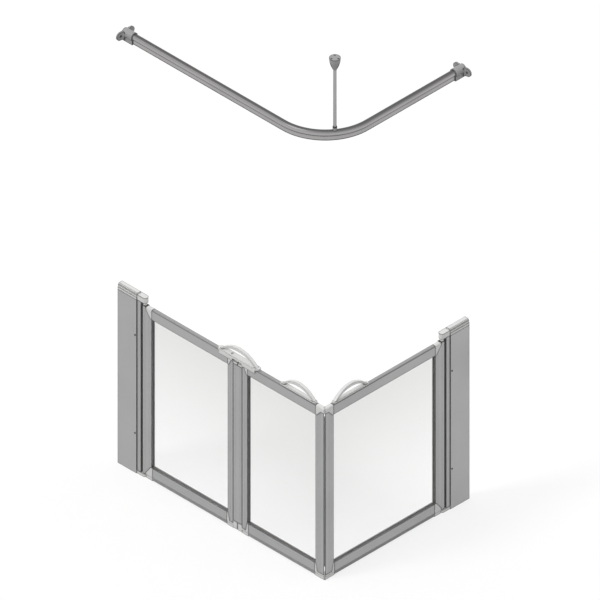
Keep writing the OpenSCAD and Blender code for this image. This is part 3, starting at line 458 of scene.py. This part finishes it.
def skirtWall(low, high, look):
    # a block with rounded edges between two corners
    bm = bmesh.new()
    block = bmesh.ops.create_cube(bm, size=1)["verts"]
    bmesh.ops.scale(bm, verts=block, vec=high - low)
    bmesh.ops.translate(bm, verts=block, vec=(low + high) / 2)
    bmesh.ops.bevel(bm, geom=list(bm.edges), offset=look["edgeRound"],
                    segments=look["roundSegments"], profile=0.5, affect="EDGES", material=-1)
    return bm


def foldSkirts(middle, length, width, baseLow, skirtLow, look):
    # both sides over the inner leaf, only the outside over the leaf that folds
    leafLow, leafHigh = boxOf("inner_leaf_top_rail")
    innerEnd = boxOf("inner_leaf_fold_stile")[1].x - middle.x
    outerStart = boxOf("outer_leaf_fold_stile")[0].x - middle.x
    reach = length / 2 - width / 2
    bridge = look["bridge"]
    outside = (-width / 2, leafLow.y - look["play"])
    inside = (leafHigh.y + look["play"], width / 2)
    walls = [((-reach, innerEnd), outside, skirtLow), ((outerStart, reach), outside, skirtLow),
             ((innerEnd - bridge, outerStart + bridge), outside, baseLow - bridge),
             ((-reach, innerEnd), inside, skirtLow)]
    wallTop = baseLow + look["lap"]
    return [skirtWall(Vector((x0, y0, z0)), Vector((x1, y1, wallTop)), look)
            for (x0, x1), (y0, y1), z0 in walls]


screwLook = {
    "headSpan": 0.012, "headHeight": 0.0024, "pocketRadius": 0.00365, "pocketRoom": 0.004,
    "pocketPoints": 32,
}


def screwCentres(node, look):
    # centres of the separate screws in a node, seen from above
    screws = []
    for point in [vert.co.xy for vert in cadNodes[node].data.vertices]:
        near = [points for points in screws if (points[0] - point).length < look["headSpan"]]
        if near:
            near[0].append(point)
        else:
            screws.append([point])
    centres = []
    for points in screws:
        across, along = [point.x for point in points], [point.y for point in points]
        centres.append(((min(across) + max(across)) / 2, (min(along) + max(along)) / 2))
    return centres


def makeHandle(node, look, onFold):
    # modelled at its own height about the middle, then placed over the node it stands for
    low, high = boxOf(node)
    size = high - low
    middle = (low + high) / 2
    length, width = max(size.xy), min(size.xy)
    baseTop = high.z - look["archHeight"]
    baseLow = baseTop - look["baseHeight"]
    base = handleBase(length, width, baseLow, baseTop, look)
    joined = [handleGrip(length / 2 - width / 2, baseTop, look)]
    if onFold:
        joined += foldSkirts(middle, length, width, baseLow, low.z, skirtLook)
    turn = Matrix.Rotation(math.pi / 2 if size.y > size.x else 0, 4, "Z")
    place = Matrix.Translation((middle.x, middle.y, 0)) @ turn
    for part in [base] + joined:
        bmesh.ops.transform(part, verts=part.verts, matrix=place)
    piece = finishPiece(base, node, finishes["white"])
    combine(piece, joined, "UNION")

    pocketMiddle = baseTop - screwLook["headHeight"] + screwLook["pocketRoom"] / 2
    pockets = [roundBar((x, y, pocketMiddle), screwLook["pocketRadius"], screwLook["pocketRoom"],
                        screwLook["pocketPoints"])
               for x, y in screwCentres(node + "_screws", screwLook)]
    combine(piece, pockets, "DIFFERENCE")
    print(node, "moulded,", len(piece.data.vertices), "points")


for name in ("outer_leaf_handle", "side_door_handle", "fold_handle"):
    makeHandle(name, handleLook, onFold=name == "fold_handle")
print("handles made")


# the flange under the ceiling

flangeLook = {
    "neckRadius": 0.008, "rimHeight": 0.004, "steps": 18, "points": 64, "mergeWithin": 1e-6,
    "pockets": 3, "turn": 15, "pocketCircle": 0.0135, "pocketRadius": 0.004, "rimFloor": 0.005,
    "overrun": 0.01, "pocketPoints": 32, "holeRadius": 0.0022, "holeCut": 0.03, "holePoints": 24,
}


def makeFlange(node, look):
    # a bell turned about the rod, with pockets round it for the screws and a hole through each
    low, high = boxOf(node)
    centre = (low + high) / 2
    neck, rim = look["neckRadius"], (high.x - low.x) / 2
    bellHeight = high.z - low.z - look["rimHeight"]
    shares = [step / look["steps"] for step in range(look["steps"] + 1)]
    bell = [(neck + (rim - neck) * math.sin(math.pi / 2 * share), low.z + bellHeight * share)
            for share in shares]
    outline = [(0, low.z)] + bell + [(rim, high.z), (0, high.z)]
    bm = bmesh.new()
    verts = [bm.verts.new((x, 0, z)) for x, z in outline]
    edges = [bm.edges.new(pair) for pair in zip(verts, verts[1:])]
    bmesh.ops.spin(bm, geom=verts + edges, cent=(0, 0, 0), axis=(0, 0, 1), angle=2 * math.pi,
                   steps=look["points"], use_merge=True)
    bmesh.ops.remove_doubles(bm, verts=bm.verts, dist=look["mergeWithin"])
    bmesh.ops.translate(bm, verts=bm.verts, vec=(centre.x, centre.y, 0))
    piece = finishPiece(bm, node, finishes["grey"])

    pocketTop = high.z - look["rimFloor"]
    pocketDepth = pocketTop - low.z + look["overrun"]
    cuts = []
    for number in range(look["pockets"]):
        angle = math.radians(look["turn"] + 360 * number / look["pockets"])
        x = centre.x + look["pocketCircle"] * math.cos(angle)
        y = centre.y + look["pocketCircle"] * math.sin(angle)
        cuts.append(roundBar((x, y, pocketTop - pocketDepth / 2), look["pocketRadius"],
                             pocketDepth, look["pocketPoints"]))
        cuts.append(roundBar((x, y, high.z), look["holeRadius"], look["holeCut"],
                             look["holePoints"]))
    combine(piece, cuts, "DIFFERENCE")


makeFlange("ceiling_flange", flangeLook)
print("flange made")


# camera, light and floor

cameraLook = {
    "azimuth": 45.0, "elevation": 35.264, "width": 2.05, "distance": 6.0, "clipEnd": 50,
    "alongRight": 0.6132, "alongUp": 0.2532,
}


def makeCamera(look):
    # a parallel view; alongRight and alongUp place its middle in the picture's own directions
    turn, tilt = math.radians(look["azimuth"]), math.radians(look["elevation"])
    towards = Vector((math.sin(turn) * math.cos(tilt), -math.cos(turn) * math.cos(tilt),
                      math.sin(tilt)))
    right = Vector((math.cos(turn), math.sin(turn), 0))
    up = towards.cross(right)
    camera = addObject("camera", bpy.data.cameras.new("camera"))
    camera.data.type = "ORTHO"
    camera.data.ortho_scale = look["width"]
    camera.data.clip_end = look["clipEnd"]
    camera.location = (right * look["alongRight"] + up * look["alongUp"]
                       + towards * look["distance"])
    camera.rotation_euler = (-towards).to_track_quat("-Z", "Y").to_euler()
    bpy.context.scene.camera = camera


sunLook = {"way": (0.35, 0.75, -1.0), "strength": 0.8, "angle": 14.0}


def makeSun(look):
    sun = addObject("sun", bpy.data.lights.new("sun", "SUN"))
    sun.data.energy = look["strength"]
    sun.data.angle = math.radians(look["angle"])
    sun.rotation_euler = Vector(look["way"]).to_track_quat("-Z", "Y").to_euler()


def backgroundMask(tree):
    # 1 where the camera sees a thing, also by reflection or through a clear panel, otherwise 0
    rays = addNode(tree, "LightPath")
    either = addNode(tree, "Math", operation="MAXIMUM")
    every = addNode(tree, "Math", operation="MAXIMUM")
    link(tree, rays, "Is Camera Ray", either, 0)
    link(tree, rays, "Is Glossy Ray", either, 1)
    link(tree, either, "Value", every, 0)
    link(tree, rays, "Is Transmission Ray", every, 1)
    return every


skyLook = {"strength": 0.75, "seenStrength": 1.0}
white = (1, 1, 1, 1)


def makeSky(look):
    # lights the object at its strength, and is plain white where it is seen
    world = bpy.data.worlds.new("studio")
    bpy.context.scene.world = world
    world.use_nodes = True
    tree = world.node_tree
    sky = tree.nodes["Background"]
    sky.inputs["Color"].default_value = white
    level = addNode(tree, "MapRange", {"To Min": look["strength"], "To Max": look["seenStrength"]})
    link(tree, backgroundMask(tree), "Value", level, "Value")
    link(tree, level, "Result", sky, "Strength")


floorLook = {"half": 12.0, "colour": (0.3, 0.3, 0.3, 1), "roughness": 0.9, "lift": 0.73}


def makeFloor(look):
    # level with the tray under the hinge foot; its lift makes it white where nothing shades it
    height = boxOf("hinge_foot_a")[0].z
    bm = bmesh.new()
    bmesh.ops.create_grid(bm, x_segments=1, y_segments=1, size=look["half"])
    bmesh.ops.translate(bm, verts=bm.verts, vec=(0, 0, height))
    floor = addObject("floor", meshFrom(bm, "floor"))
    paint = bpy.data.materials.new("floorPaint")
    paint.use_nodes = True
    tree = paint.node_tree
    shader = tree.nodes["Principled BSDF"]
    shader.inputs["Base Color"].default_value = look["colour"]
    shader.inputs["Roughness"].default_value = look["roughness"]
    shader.inputs["Specular IOR Level"].default_value = 0.0
    shader.inputs["Emission Color"].default_value = white
    lift = addNode(tree, "Math", {1: look["lift"]}, operation="MULTIPLY")
    link(tree, backgroundMask(tree), "Value", lift, 0)
    link(tree, lift, "Value", shader, "Emission Strength")
    floor.data.materials.append(paint)


makeCamera(cameraLook)
makeSun(sunLook)
makeSky(skyLook)
makeFloor(floorLook)
bpy.context.scene.view_settings.view_transform = "Standard"
print("camera, light and floor set")
